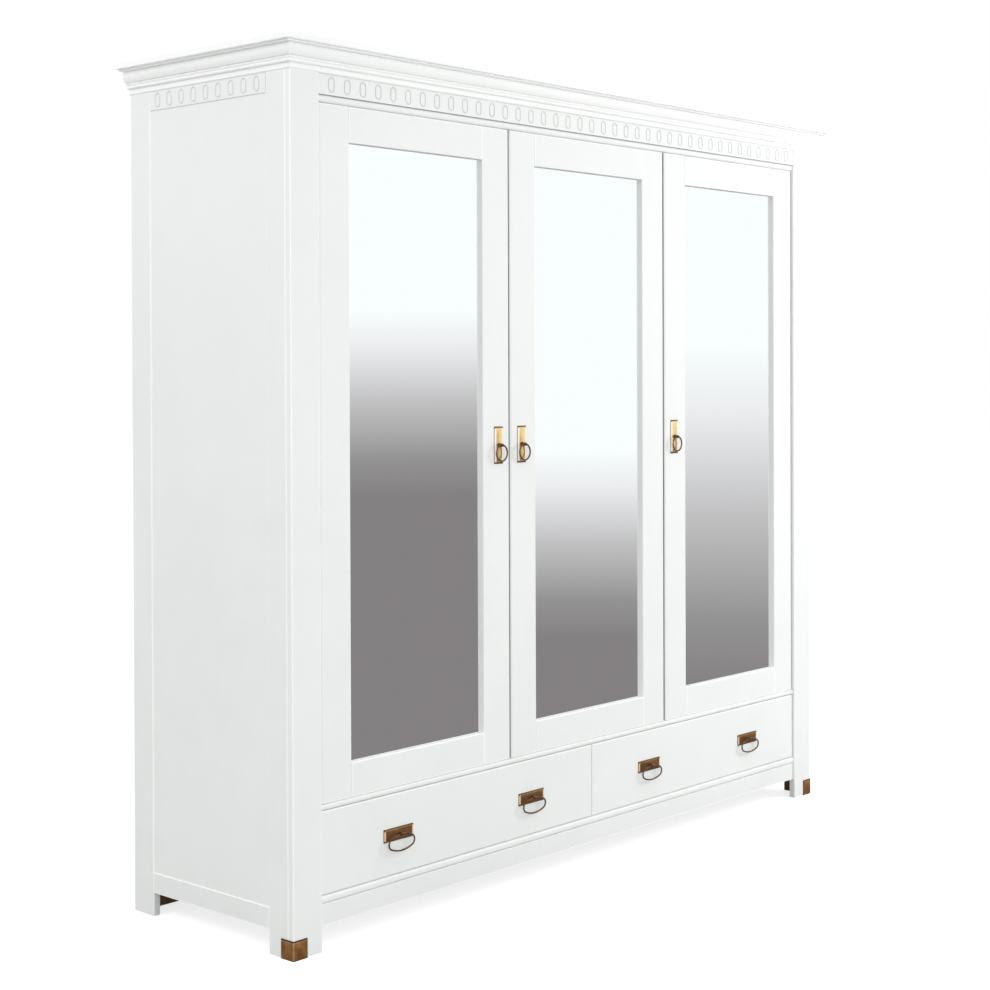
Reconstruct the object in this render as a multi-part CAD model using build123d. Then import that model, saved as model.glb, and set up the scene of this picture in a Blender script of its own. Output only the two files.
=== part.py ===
"""Painted three-door armoire with mirrored doors and two drawers.

Millimetres, +Z up, -Y is the front. The origin is on the floor, midway along the cornice's
width and midway between the cornice's front edge and the back.
"""
from build123d import *
import os
from math import sqrt

MATCH = 0.01                  # two places closer than this are the same

# ---- overall sizes ----
CARCASS_WIDTH = 2114.0        # over the outer faces of the corner legs
CARCASS_DEPTH = 577.0         # front face of the legs to the back
LEG_HEIGHT = 1973.0           # floor to the underside of the cornice
CORNICE_OVERHANG = 43.0       # how far the cap stands out past the legs

# ---- boards ----
BOARD = 18.0                  # legs, rails, frieze, roof
SHELF_BOARD = 16.0            # floor, partition, shelves
BACK_PANEL = 6.0
PANEL_RECESS = 2.0            # side panel behind the side stiles
SOFT_EDGE = 1.5               # broken arris between two painted boards
LEG_ARRIS = 2.0               # outer corner of a front leg

# ---- corner legs ----
FRONT_STILE_WIDTH = 86.0
SIDE_FRONT_STILE_WIDTH = 82.0
SIDE_REAR_STILE_WIDTH = 75.0
BACK_STILE_WIDTH = 143.0
FOOT_CAP_REACH = 42.0
FOOT_CAP_HEIGHT = 45.0
FOOT_CAP_SHEET = 2.0

# ---- heights of the front ----
APRON_CLEARANCE = 57.0        # floor to apron
APRON_HEIGHT = 49.0
BEAD_HEIGHT = 18.0
DRAWER_OPENING = 192.0
MID_RAIL_HEIGHT = 14.5
TOP_BAR_HEIGHT = 18.0
FRIEZE_HEIGHT = 46.0

# ---- how far front pieces lie behind the leg's face ----
FRIEZE_RECESS = 2.0
BEAD_RECESS = 4.0
RAIL_RECESS = 5.0
FRONT_RECESS = 7.0            # doors, drawer fronts and apron
RAIL_NOSE = 6.5               # rounding of the bars' front edges
RAIL_NOSE_SHARE = 0.45        # most that a rounding takes of a bar's height

# ---- carved ovals ----
OVAL_WIDTH = 21.0
OVAL_HEIGHT = 36.0
OVAL_GROOVE = 4.0
OVAL_DEPTH = 1.6
FRONT_OVALS = 39
FRONT_OVAL_MARGIN = 40.0      # leg edge to the first oval's centre
SIDE_OVALS = 9
SIDE_OVAL_MARGIN = 30.0

# ---- cornice ----
MOULDING_HEIGHT = 57.0
CAP_HEIGHT = 15.0
CORNICE_BACKING = 30.0        # how far the cornice reaches in over the carcass
FILLET_OVERHANG = 33.0
FILLET_HEIGHT = 3.5
SWELL_OVERHANG = 22.5
SWELL_FOOT = 16.0
SWELL_HEIGHT = 26.0
SWELL_CREST = 11.0            # below the fillet
QUIRK = 1.0                   # small step beside a bead
BEAD_PAIR = (13.0, 11.0)      # overhangs of the two small beads
SMALL_BEAD_HEIGHT = 7.0
NECK_OVERHANG = 3.5

# ---- doors ----
DOOR_COUNT = 3
DOOR_THICKNESS = 20.0
EDGE_GAP = 2.0                # door or drawer front to the posts
LEVEL_GAP = 1.0               # above and below a door or drawer front
MEETING_GAP = 3.0             # between neighbouring doors or drawer fronts
BACK_GAP = 2.0                # door back to the bars and partition behind it
DOOR_STILE_WIDTH = 97.0
DOOR_TOP_RAIL = 82.0
DOOR_BOTTOM_RAIL = 79.0
REBATE = 10.0
MIRROR_THICKNESS = 4.0
MIRROR_CLEARANCE = 0.5
BACKING_THICKNESS = 4.0
BACKING_RECESS = 1.0          # backing board behind the door's back face
SIGHT_ARRIS = 3.0
HINGE_EDGE_ROUND = 0.999      # share of half the thickness, just short of a full round
MEETING_ARRIS = 6.0
PIVOT_RADIUS = 4.0
PIVOT_CLEARANCE = 0.05
PIVOT_DEPTH = 12.0            # pin inside the door stile
BUSH_RADIUS = 6.0
BUSH_LENGTH = 10.0
SEAT_CLEARANCE = 0.02         # bush in its rail, pin in its stile
PIN_END_GAP = 1.0

# ---- handles ----
HANDLE_HEIGHT = 1120.0        # door plate's centre above the floor
DOOR_PLATE = (32.0, 93.0)
DOOR_PLATE_INSET = 42.0       # meeting edge to the plate's centre
DRAWER_PLATE = (97.0, 31.0)
DRAWER_HANDLE_SPREAD = 238.0  # drawer's middle to each handle
PLATE_THICKNESS = 3.0
PLATE_BEVEL = 1.4
WIRE_RADIUS = 2.0
RING_RADIUS = 20.0            # to the wire's centre line
BAIL_HALF_WIDTH = 42.0
BAIL_HALF_HEIGHT = 19.0
BAIL_END_RADIUS = 13.0
RING_STANDOFF = 9.0           # plate's face to the wire's centre line
KNUCKLE_WIDTH = 7.0
KNUCKLE_END_GAP = 0.7         # knuckle's end to the wire's first bend
KNUCKLE_RADIUS = 4.5
NECK_RADIUS = 3.2
NECK_ROOT = 0.5               # how far the knuckle's neck runs on into what it joins

# ---- drawers ----
DRAWER_FRONT_THICKNESS = 20.0
DRAWER_SIDE = 12.0
DRAWER_BOTTOM = 6.0
DRAWER_TOP_CLEARANCE = 24.0   # box's head to the opening's head
DRAWER_BACK_CLEARANCE = 46.0  # box's end to the back panels
DRAWER_SIDE_GAP = 2.0
DRAWER_BOX_LIFT = 18.0        # opening's foot to the box's foot
DRAWER_BOTTOM_LIFT = 8.0
RUNNER_HEIGHT = 12.0
RUNNER_FRONT_GAP = 6.0        # upright's front edge to the runners
RUNNER_BACK_GAP = 18.0        # runners to the back panels
RUNNER_GAP = 0.5
RUNNER_OVERLAP = 3.0
FRONT_ARRIS = 4.0

# ---- inside ----
HAT_SHELF_DROP = 155.0        # roof board to the hat shelf
SIDE_SHELVES = 4
CLEAT = (18.0, 18.0)
CLEAT_SETBACK = 25.0
SHELF_FRONT_GAP = 13.0
HANGING_TUBE_RADIUS = 12.5
HANGING_TUBE_WALL = 1.5
HANGING_TUBE_DROP = 50.0      # hat shelf to the tube's centre line
SOCKET_RADIUS = 24.0
SOCKET_THICKNESS = 14.0
SOCKET_SEAT = 10.0
BRACKET_WIDTH = 20.0
BRACKET_FOOT = (60.0, 4.0)
CATCH_SIZE = (36.0, 18.0, 36.0)
CATCH_TOP_GAP = 2.0           # catch's head below the top bar's head
CATCH_NOSE = (24.0, 10.0)     # width and height of the magnet's face
CATCH_NOSE_LIFT = 2.0
CATCH_NOSE_GAP = 0.5          # magnet's face to the closed door
CATCH_INSET = 40.0
MUNTIN_WIDTH = 60.0
BACK_TOP_RAIL = 55.0

# ---- planes worked out from the sizes above ----
x_out = CARCASS_WIDTH / 2
x_in = x_out - BOARD
x_open = x_out - FRONT_STILE_WIDTH
y_front = CORNICE_OVERHANG - (CARCASS_DEPTH + CORNICE_OVERHANG) / 2
y_back = y_front + CARCASS_DEPTH
y_stile_back = y_front + BOARD
y_door = y_front + FRONT_RECESS
y_door_back = y_door + DOOR_THICKNESS
y_inner = y_door_back + BACK_GAP
y_mirror = y_door_back - BACKING_RECESS - BACKING_THICKNESS - MIRROR_THICKNESS
y_drawer_back = y_door + DRAWER_FRONT_THICKNESS
y_upright = y_drawer_back + BACK_GAP
y_frieze = y_front + FRIEZE_RECESS
y_back_frame = y_back - BOARD
y_back_panel = y_back_frame - BACK_PANEL
y_side_start = y_front + SIDE_FRONT_STILE_WIDTH
y_side_end = y_back - SIDE_REAR_STILE_WIDTH

z_bead = APRON_CLEARANCE + APRON_HEIGHT
z_drawer = z_bead + BEAD_HEIGHT
z_mid = z_drawer + DRAWER_OPENING
z_doors = z_mid + MID_RAIL_HEIGHT
z_frieze = LEG_HEIGHT - FRIEZE_HEIGHT
z_bar = z_frieze - TOP_BAR_HEIGHT
z_roof = LEG_HEIGHT - BOARD
z_cap = LEG_HEIGHT + MOULDING_HEIGHT
z_hat_shelf = z_roof - HAT_SHELF_DROP

door_width = (2 * x_open - 2 * EDGE_GAP - (DOOR_COUNT - 1) * MEETING_GAP) / DOOR_COUNT
door_foot = z_doors + LEVEL_GAP
door_head = z_bar - LEVEL_GAP
x_partition = x_open - EDGE_GAP - door_width - MEETING_GAP / 2
pivot_span = KNUCKLE_WIDTH / 2 + KNUCKLE_END_GAP


def box(x_range, y_range, z_range):
    """A board between two places along each axis."""
    size = [high - low for low, high in (x_range, y_range, z_range)]
    centre = [(high + low) / 2 for low, high in (x_range, y_range, z_range)]
    return Pos(*centre) * Box(*size)


def mirrored(shape):
    """The same piece on the other side of the middle plane."""
    return mirror(shape, about=Plane.YZ)


def both_sides(shape):
    """A left piece and its right twin, as two solids."""
    return group(shape, mirrored(shape))


def group(*shapes):
    """Several separate solids in one node."""
    return Compound([solid for shape in shapes for solid in shape.solids()])


def edges_at(shape, axis, **place):
    """The edges along an axis whose middles lie at the given coordinates."""
    found = shape.edges().filter_by(axis)
    for name, value in place.items():
        found = [edge for edge in found if abs(getattr(edge.center(), name) - value) < MATCH]
    return found


# ---- corner legs and side frames ----
def front_stile():
    stile = box((-x_out, -x_open), (y_front, y_stile_back), (0, LEG_HEIGHT))
    stile = fillet(edges_at(stile, Axis.Z, X=-x_out, Y=y_front), LEG_ARRIS)
    return fillet(edges_at(stile, Axis.Z, X=-x_open, Y=y_front), SOFT_EDGE)


def side_stiles():
    front = box((-x_out, -x_in), (y_stile_back, y_side_start), (0, LEG_HEIGHT))
    front = chamfer(edges_at(front, Axis.Z, X=-x_out, Y=y_side_start), SOFT_EDGE)
    rear = box((-x_out, -x_in), (y_side_end, y_back), (0, LEG_HEIGHT))
    rear = chamfer(edges_at(rear, Axis.Z, X=-x_out, Y=y_side_end), SOFT_EDGE)
    return group(both_sides(front), both_sides(rear))


def side_panel():
    return box((-x_out + PANEL_RECESS, -x_in), (y_side_start, y_side_end), (z_bead, z_frieze))


def side_rails():
    rail = box((-x_out, -x_in), (y_side_start, y_side_end), (APRON_CLEARANCE, z_bead))
    rail = chamfer(edges_at(rail, Axis.Y, X=-x_out, Z=z_bead), SOFT_EDGE)
    return both_sides(rail)


def oval_groove():
    """A sloped ring-shaped groove, cut downwards from z = 0."""
    outer = SlotOverall(OVAL_HEIGHT, OVAL_WIDTH, rotation=90)
    inner = SlotOverall(OVAL_HEIGHT - 2 * OVAL_GROOVE, OVAL_WIDTH - 2 * OVAL_GROOVE, rotation=90)
    bowl = extrude(outer, -OVAL_DEPTH, taper=45)
    island = extrude(inner, -OVAL_DEPTH, taper=-45)
    return bowl - island


def carve(board, face_plane, count, margin, length):
    """Cut a row of ovals, evenly spaced between two margins, into a face."""
    pitch = (length - 2 * margin) / (count - 1)
    groove = oval_groove()
    for i in range(count):
        board -= face_plane * Pos(margin + i * pitch, 0, 0) * groove
    return board


def side_friezes():
    frieze = box((-x_out, -x_in), (y_side_start, y_side_end), (z_frieze, LEG_HEIGHT))
    frieze = chamfer(edges_at(frieze, Axis.Y, X=-x_out, Z=z_frieze), SOFT_EDGE)
    start = (-x_out, y_side_end, (z_frieze + LEG_HEIGHT) / 2)
    face = Plane(origin=start, x_dir=(0, -1, 0), z_dir=(-1, 0, 0))
    frieze = carve(frieze, face, SIDE_OVALS, SIDE_OVAL_MARGIN, y_side_end - y_side_start)
    return both_sides(frieze)


def foot_caps():
    """Thin metal corners folded round the front feet."""
    outer = box(
        (-x_out - FOOT_CAP_SHEET, -x_out - FOOT_CAP_SHEET + FOOT_CAP_REACH),
        (y_front - FOOT_CAP_SHEET, y_front - FOOT_CAP_SHEET + FOOT_CAP_REACH),
        (0, FOOT_CAP_HEIGHT),
    )
    outer = fillet(
        edges_at(outer, Axis.Z, X=-x_out - FOOT_CAP_SHEET, Y=y_front - FOOT_CAP_SHEET),
        LEG_ARRIS + FOOT_CAP_SHEET,
    )
    leg = box((-x_out, 0), (y_front, y_back), (-FOOT_CAP_HEIGHT, 2 * FOOT_CAP_HEIGHT))
    leg = fillet(edges_at(leg, Axis.Z, X=-x_out, Y=y_front), LEG_ARRIS)
    return both_sides(outer - leg)


def back_frame():
    """Rear legs' back boards, two muntins, top rail and bottom rail."""
    y_range = (y_back_frame, y_back)
    x_stile = x_in - BACK_STILE_WIDTH + BOARD
    stile = box((-x_in, -x_stile), y_range, (0, z_roof))
    x_muntin = (2 * x_in / DOOR_COUNT) / 2
    half = MUNTIN_WIDTH / 2
    z_top = z_roof - BACK_TOP_RAIL
    muntin = box((-x_muntin - half, -x_muntin + half), y_range, (z_bead, z_top))
    top_rail = box((-x_stile, x_stile), y_range, (z_top, z_roof))
    bottom_rail = box((-x_stile, x_stile), y_range, (APRON_CLEARANCE, z_bead))
    return group(both_sides(stile), both_sides(muntin), top_rail, bottom_rail)


def back_panels():
    width = 2 * x_in / DOOR_COUNT
    panels = []
    for i in range(DOOR_COUNT):
        start = -x_in + i * width
        x_range = (start, start + width)
        panels.append(box(x_range, (y_back_panel, y_back_frame), (z_bead - BOARD, z_roof)))
    return group(*panels)


# ---- front bars, apron and frieze ----
def front_bar(recess, z_range, depth_end):
    """A bar across the front with both front edges rounded."""
    bar = box((-x_open, x_open), (y_front + recess, depth_end), z_range)
    nose = min(RAIL_NOSE, (z_range[1] - z_range[0]) * RAIL_NOSE_SHARE)
    return fillet(edges_at(bar, Axis.X, Y=y_front + recess), nose)


def pivot_x(door_index):
    """Where a door's pivot stands: left door on its left, the others on their right."""
    half = DOOR_THICKNESS / 2
    start = door_start(door_index)
    return start + half if door_index == 0 else start + door_width - half


def pivot_seats(bar, z_start):
    """Drill the bar for the three pivot bushes."""
    for i in range(DOOR_COUNT):
        place = Pos(pivot_x(i), y_door + DOOR_THICKNESS / 2, z_start + BUSH_LENGTH / 2)
        bar -= place * Cylinder(BUSH_RADIUS + SEAT_CLEARANCE, BUSH_LENGTH)
    return bar


def mid_rail():
    bar = front_bar(RAIL_RECESS, (z_mid, z_doors), y_inner)
    return pivot_seats(bar, z_doors - BUSH_LENGTH)


def top_bar():
    bar = front_bar(RAIL_RECESS, (z_bar, z_frieze), y_inner)
    return pivot_seats(bar, z_bar)


def bottom_bead():
    return front_bar(BEAD_RECESS, (z_bead, z_drawer), y_front + FRONT_RECESS + BOARD)


def front_apron():
    y_range = (y_front + FRONT_RECESS, y_front + FRONT_RECESS + BOARD)
    apron = box((-x_open, x_open), y_range, (APRON_CLEARANCE, z_bead))
    apron = chamfer(edges_at(apron, Axis.Z, Y=y_range[0]), SOFT_EDGE)
    return apron


def front_frieze():
    frieze = box((-x_open, x_open), (y_frieze, y_frieze + BOARD), (z_frieze, LEG_HEIGHT))
    frieze = chamfer(edges_at(frieze, Axis.Z, Y=y_frieze), SOFT_EDGE)
    start = (-x_open, y_frieze, (z_frieze + LEG_HEIGHT) / 2)
    face = Plane(origin=start, x_dir=(1, 0, 0), z_dir=(0, -1, 0))
    return carve(frieze, face, FRONT_OVALS, FRONT_OVAL_MARGIN, 2 * x_open)


def pivot_bushes():
    bushes = []
    for i in range(DOOR_COUNT):
        for z_start in (z_doors - BUSH_LENGTH, z_bar):
            place = Pos(pivot_x(i), y_door + DOOR_THICKNESS / 2, z_start + BUSH_LENGTH / 2)
            sleeve = Cylinder(BUSH_RADIUS, BUSH_LENGTH)
            sleeve -= Cylinder(PIVOT_RADIUS + PIVOT_CLEARANCE, BUSH_LENGTH)
            bushes.append(place * sleeve)
    return group(*bushes)


# ---- cornice ----
def moulding_profile():
    """Section of the cornice: x is the overhang past the leg, y the height."""
    z_fillet = z_cap - FILLET_HEIGHT
    z_swell = z_fillet - SWELL_HEIGHT
    z_first_bead = z_swell - SMALL_BEAD_HEIGHT
    z_second_bead = z_first_bead - SMALL_BEAD_HEIGHT
    first, second = BEAD_PAIR
    backing = Polyline(
        (NECK_OVERHANG, z_second_bead), (NECK_OVERHANG, LEG_HEIGHT + LEG_ARRIS),
        (NECK_OVERHANG - LEG_ARRIS, LEG_HEIGHT), (-CORNICE_BACKING, LEG_HEIGHT),
        (-CORNICE_BACKING, z_cap), (FILLET_OVERHANG, z_cap), (FILLET_OVERHANG, z_fillet),
        (SWELL_OVERHANG - QUIRK, z_fillet),
    )
    swell_middle = (SWELL_OVERHANG, z_fillet - SWELL_CREST)
    swell = ThreePointArc((SWELL_OVERHANG - QUIRK, z_fillet), swell_middle, (SWELL_FOOT, z_swell))
    shoulder = Line((SWELL_FOOT, z_swell), (first - QUIRK, z_swell))
    bead_middle = z_swell - SMALL_BEAD_HEIGHT / 2
    upper = ThreePointArc((first - QUIRK, z_swell), (first, bead_middle), (second - QUIRK, z_first_bead))
    bead_middle = z_first_bead - SMALL_BEAD_HEIGHT / 2
    foot = second - 2 * QUIRK
    lower = ThreePointArc((second - QUIRK, z_first_bead), (second, bead_middle), (foot, z_second_bead))
    underside = Line((foot, z_second_bead), (NECK_OVERHANG, z_second_bead))
    return make_face([backing, swell, shoulder, upper, lower, underside])


def cap_profile():
    width = CORNICE_OVERHANG + CORNICE_BACKING
    centre = (CORNICE_OVERHANG - width / 2, z_cap + CAP_HEIGHT / 2)
    section = Pos(*centre) * Rectangle(width, CAP_HEIGHT)
    outer = [v for v in section.vertices() if v.X > 0]
    return fillet(outer, LEG_ARRIS)


def mitred_frame(profile):
    """Front and side lengths of a moulding, mitred at the two front corners."""
    reach = 2 * CORNICE_OVERHANG
    length = 2 * (x_out + reach)
    front_plane = Plane(origin=(length / 2, y_front, 0), x_dir=(0, -1, 0), z_dir=(-1, 0, 0))
    side_plane = Plane(origin=(-x_out, y_front - reach, 0), x_dir=(-1, 0, 0), z_dir=(0, 1, 0))
    front = extrude(front_plane * profile, length)
    side = extrude(side_plane * profile, CARCASS_DEPTH + reach)
    inner = CORNICE_BACKING + BOARD
    corner_out = (-x_out - reach, y_front - reach)
    corner_in = (-x_out + inner, y_front + inner)
    across = Polygon(
        corner_out, (-corner_out[0], corner_out[1]), (-corner_in[0], corner_in[1]), corner_in,
        align=None,
    )
    along = Polygon(
        corner_out, corner_in, (corner_in[0], y_back), (corner_out[0], y_back), align=None
    )
    top = z_cap + 2 * CAP_HEIGHT
    front = front & extrude(across, top)
    side = side & extrude(along, top)
    return group(front, both_sides(side))


# ---- inside boards ----
def roof_board():
    return box((-x_in, x_in), (y_frieze + BOARD, y_back), (z_roof, LEG_HEIGHT))


def wardrobe_floor():
    return box((-x_in, x_in), (y_inner, y_back_panel), (z_doors - SHELF_BOARD, z_doors))


def bottom_board():
    y_start = y_front + FRONT_RECESS + BOARD
    return box((-x_in, x_in), (y_start, y_back_panel), (z_bead, z_bead + SHELF_BOARD))


def partition():
    half = SHELF_BOARD / 2
    return box((x_partition - half, x_partition + half), (y_inner, y_back_panel), (z_doors, z_roof))


def drawer_supports():
    """The upright between the drawers and the four wooden runners."""
    half = SHELF_BOARD / 2
    z_foot = z_bead + SHELF_BOARD
    divider = box((-half, half), (y_upright, y_back_panel), (z_foot, z_doors - SHELF_BOARD))
    z_top = z_drawer + DRAWER_BOX_LIFT - RUNNER_GAP
    z_range = (z_top - RUNNER_HEIGHT, z_top)
    y_range = (y_upright + RUNNER_FRONT_GAP, y_back_panel - RUNNER_BACK_GAP)
    outer_reach = box_outer_x() - DRAWER_SIDE - RUNNER_OVERLAP
    inner_reach = half + DRAWER_SIDE_GAP + DRAWER_SIDE + RUNNER_OVERLAP
    outer = box((-x_in, -outer_reach), y_range, z_range)
    inner = box((-inner_reach, -half), y_range, z_range)
    return group(divider, both_sides(outer), both_sides(inner))


def hat_shelf():
    x_range = (-x_in, x_partition - SHELF_BOARD / 2)
    y_range = (y_inner + SHELF_FRONT_GAP, y_back_panel)
    return box(x_range, y_range, (z_hat_shelf, z_hat_shelf + SHELF_BOARD))


def side_shelf_heights():
    """Undersides of the side shelves; the top one is level with the hat shelf."""
    step = (z_hat_shelf - z_doors) / SIDE_SHELVES
    return [z_doors + step * (i + 1) for i in range(SIDE_SHELVES)]


def side_shelves():
    x_range = (x_partition + SHELF_BOARD / 2, x_in)
    y_range = (y_inner + SHELF_FRONT_GAP, y_back_panel)
    return group(*[box(x_range, y_range, (z, z + SHELF_BOARD)) for z in side_shelf_heights()])


def shelf_cleats():
    """Battens under both ends of every shelf."""
    thick, tall = CLEAT
    y_range = (y_inner + SHELF_FRONT_GAP + CLEAT_SETBACK, y_back_panel - CLEAT_SETBACK)
    left = x_partition - SHELF_BOARD / 2
    right = x_partition + SHELF_BOARD / 2
    ends = [(-x_in, z_hat_shelf, 1), (left, z_hat_shelf, -1)]
    for z in side_shelf_heights():
        ends += [(right, z, 1), (x_in, z, -1)]
    cleats = []
    for x, z, inward in ends:
        x_range = sorted((x, x + inward * thick))
        cleats.append(box(x_range, y_range, (z - tall, z)))
    return group(*cleats)


def rail_line():
    """Ends and centre line of the hanging rail."""
    y = (y_inner + y_back_panel) / 2
    z = z_hat_shelf - HANGING_TUBE_DROP
    return -x_in, x_partition - SHELF_BOARD / 2, y, z


def hanging_rail():
    start, end, y, z = rail_line()
    length = end - start - 2 * (SOCKET_THICKNESS - SOCKET_SEAT)
    tube = Cylinder(HANGING_TUBE_RADIUS, length)
    tube -= Cylinder(HANGING_TUBE_RADIUS - HANGING_TUBE_WALL, length)
    return Pos((start + end) / 2, y, z) * Rot(0, 90, 0) * tube


def rail_fittings():
    """Two end sockets and a middle bracket under the hat shelf."""
    start, end, y, z = rail_line()
    bore = HANGING_TUBE_RADIUS + SEAT_CLEARANCE
    seat = Pos(0, 0, (SOCKET_THICKNESS - SOCKET_SEAT) / 2) * Cylinder(bore, SOCKET_SEAT)
    socket = Cylinder(SOCKET_RADIUS, SOCKET_THICKNESS) - seat
    left = Pos(start + SOCKET_THICKNESS / 2, y, z) * Rot(0, 90, 0) * socket
    right = Pos(end - SOCKET_THICKNESS / 2, y, z) * Rot(0, -90, 0) * socket
    middle = (start + end) / 2
    half = BRACKET_WIDTH / 2
    collar = Pos(middle, y, z) * Rot(0, 90, 0) * Cylinder(bore + BRACKET_FOOT[1], BRACKET_WIDTH)
    stem = box((middle - half, middle + half), (y - half, y + half), (z, z_hat_shelf))
    foot = box(
        (middle - half, middle + half),
        (y - BRACKET_FOOT[0] / 2, y + BRACKET_FOOT[0] / 2),
        (z_hat_shelf - BRACKET_FOOT[1], z_hat_shelf),
    )
    bracket = collar + stem + foot
    bracket -= Pos(middle, y, z) * Rot(0, 90, 0) * Cylinder(bore, 2 * BRACKET_WIDTH)
    return group(left, right, bracket)


def door_catches():
    """Magnetic catches behind the top bar, one at each door's meeting edge."""
    width, depth, height = CATCH_SIZE
    nose_width, nose_height = CATCH_NOSE
    catches = []
    for i in range(DOOR_COUNT):
        edge = door_start(i) + door_width if i == 0 else door_start(i)
        x = edge - CATCH_INSET if i == 0 else edge + CATCH_INSET
        z_top = z_bar + TOP_BAR_HEIGHT - CATCH_TOP_GAP
        x_body = (x - width / 2, x + width / 2)
        body = box(x_body, (y_inner, y_inner + depth), (z_top - height, z_top))
        z_nose = z_top - height + CATCH_NOSE_LIFT
        nose = box(
            (x - nose_width / 2, x + nose_width / 2),
            (y_door_back + CATCH_NOSE_GAP, y_inner),
            (z_nose, z_nose + nose_height),
        )
        catches.append(body + nose)
    return group(*catches)


# ---- handles ----
def handle_plate(size, x, z, y_face):
    """Bevelled plate with the knuckle that carries the ring."""
    width, height = size
    plate = box(
        (x - width / 2, x + width / 2),
        (y_face - PLATE_THICKNESS, y_face),
        (z - height / 2, z + height / 2),
    )
    rim = plate.faces().sort_by(Axis.Y)[0].edges()
    plate = chamfer(rim, PLATE_BEVEL)
    y_wire = y_face - PLATE_THICKNESS - RING_STANDOFF
    y_middle = (y_wire + y_face - PLATE_THICKNESS) / 2
    neck = Pos(x, y_middle, z) * Rot(90, 0, 0) * Cylinder(NECK_RADIUS, RING_STANDOFF + 2 * NECK_ROOT)
    across = Pos(x, y_wire, z) * Rot(0, 90, 0)
    knuckle = across * Cylinder(KNUCKLE_RADIUS, KNUCKLE_WIDTH)
    bore = across * Cylinder(WIRE_RADIUS + PIVOT_CLEARANCE, 2 * KNUCKLE_WIDTH)
    return plate + neck + knuckle - bore


def wire_loop(run, x, y, z):
    """Round wire bent along a run of edges, closed by the straight pin that turns in the knuckle."""
    path = Wire(run)
    bent = sweep(Plane(origin=path @ 0, z_dir=path % 0) * Circle(WIRE_RADIUS), path=path)
    pin = Rot(0, 90, 0) * Cylinder(WIRE_RADIUS, 2 * pivot_span)
    loop = bent + pin
    for x_end in (-pivot_span, pivot_span):
        loop += Pos(x_end, 0, 0) * Sphere(WIRE_RADIUS)
    return Pos(x, y, z) * Rot(90, 0, 0) * loop


def ring_run():
    """Most of a circle, from one end of the pin round to the other; the pin lies at y = 0."""
    drop = sqrt(RING_RADIUS ** 2 - pivot_span ** 2)
    return [ThreePointArc((pivot_span, 0), (0, -drop - RING_RADIUS), (-pivot_span, 0))]


def bail_run():
    """A four-arc oval, from one end of the pin round to the other; the pin lies at y = 0."""
    tip_centre = BAIL_HALF_WIDTH - BAIL_END_RADIUS
    rise = BAIL_HALF_HEIGHT - BAIL_END_RADIUS
    drop = (tip_centre ** 2 - rise ** 2) / (2 * rise)
    radius = BAIL_HALF_HEIGHT + drop
    scale = radius / (radius - BAIL_END_RADIUS)
    x_join = tip_centre * scale
    z_join = drop * (scale - 1)
    z_pin = sqrt(radius ** 2 - pivot_span ** 2) - drop
    x_upper = (pivot_span + x_join) / 2
    z_upper = sqrt(radius ** 2 - x_upper ** 2) - drop
    right = [
        (pivot_span, z_pin), (x_upper, z_upper), (x_join, z_join), (BAIL_HALF_WIDTH, 0),
        (x_join, -z_join),
    ]
    left = [(-x, z) for x, z in reversed(right)]
    points = [(x, z - z_pin) for x, z in right + [(0, -BAIL_HALF_HEIGHT)] + left]
    return [ThreePointArc(*points[i:i + 3]) for i in range(0, len(points) - 1, 2)]


# ---- doors ----
def door_start(index):
    """Left edge of a door, counted from the left."""
    return -x_open + EDGE_GAP + index * (door_width + MEETING_GAP)


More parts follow.
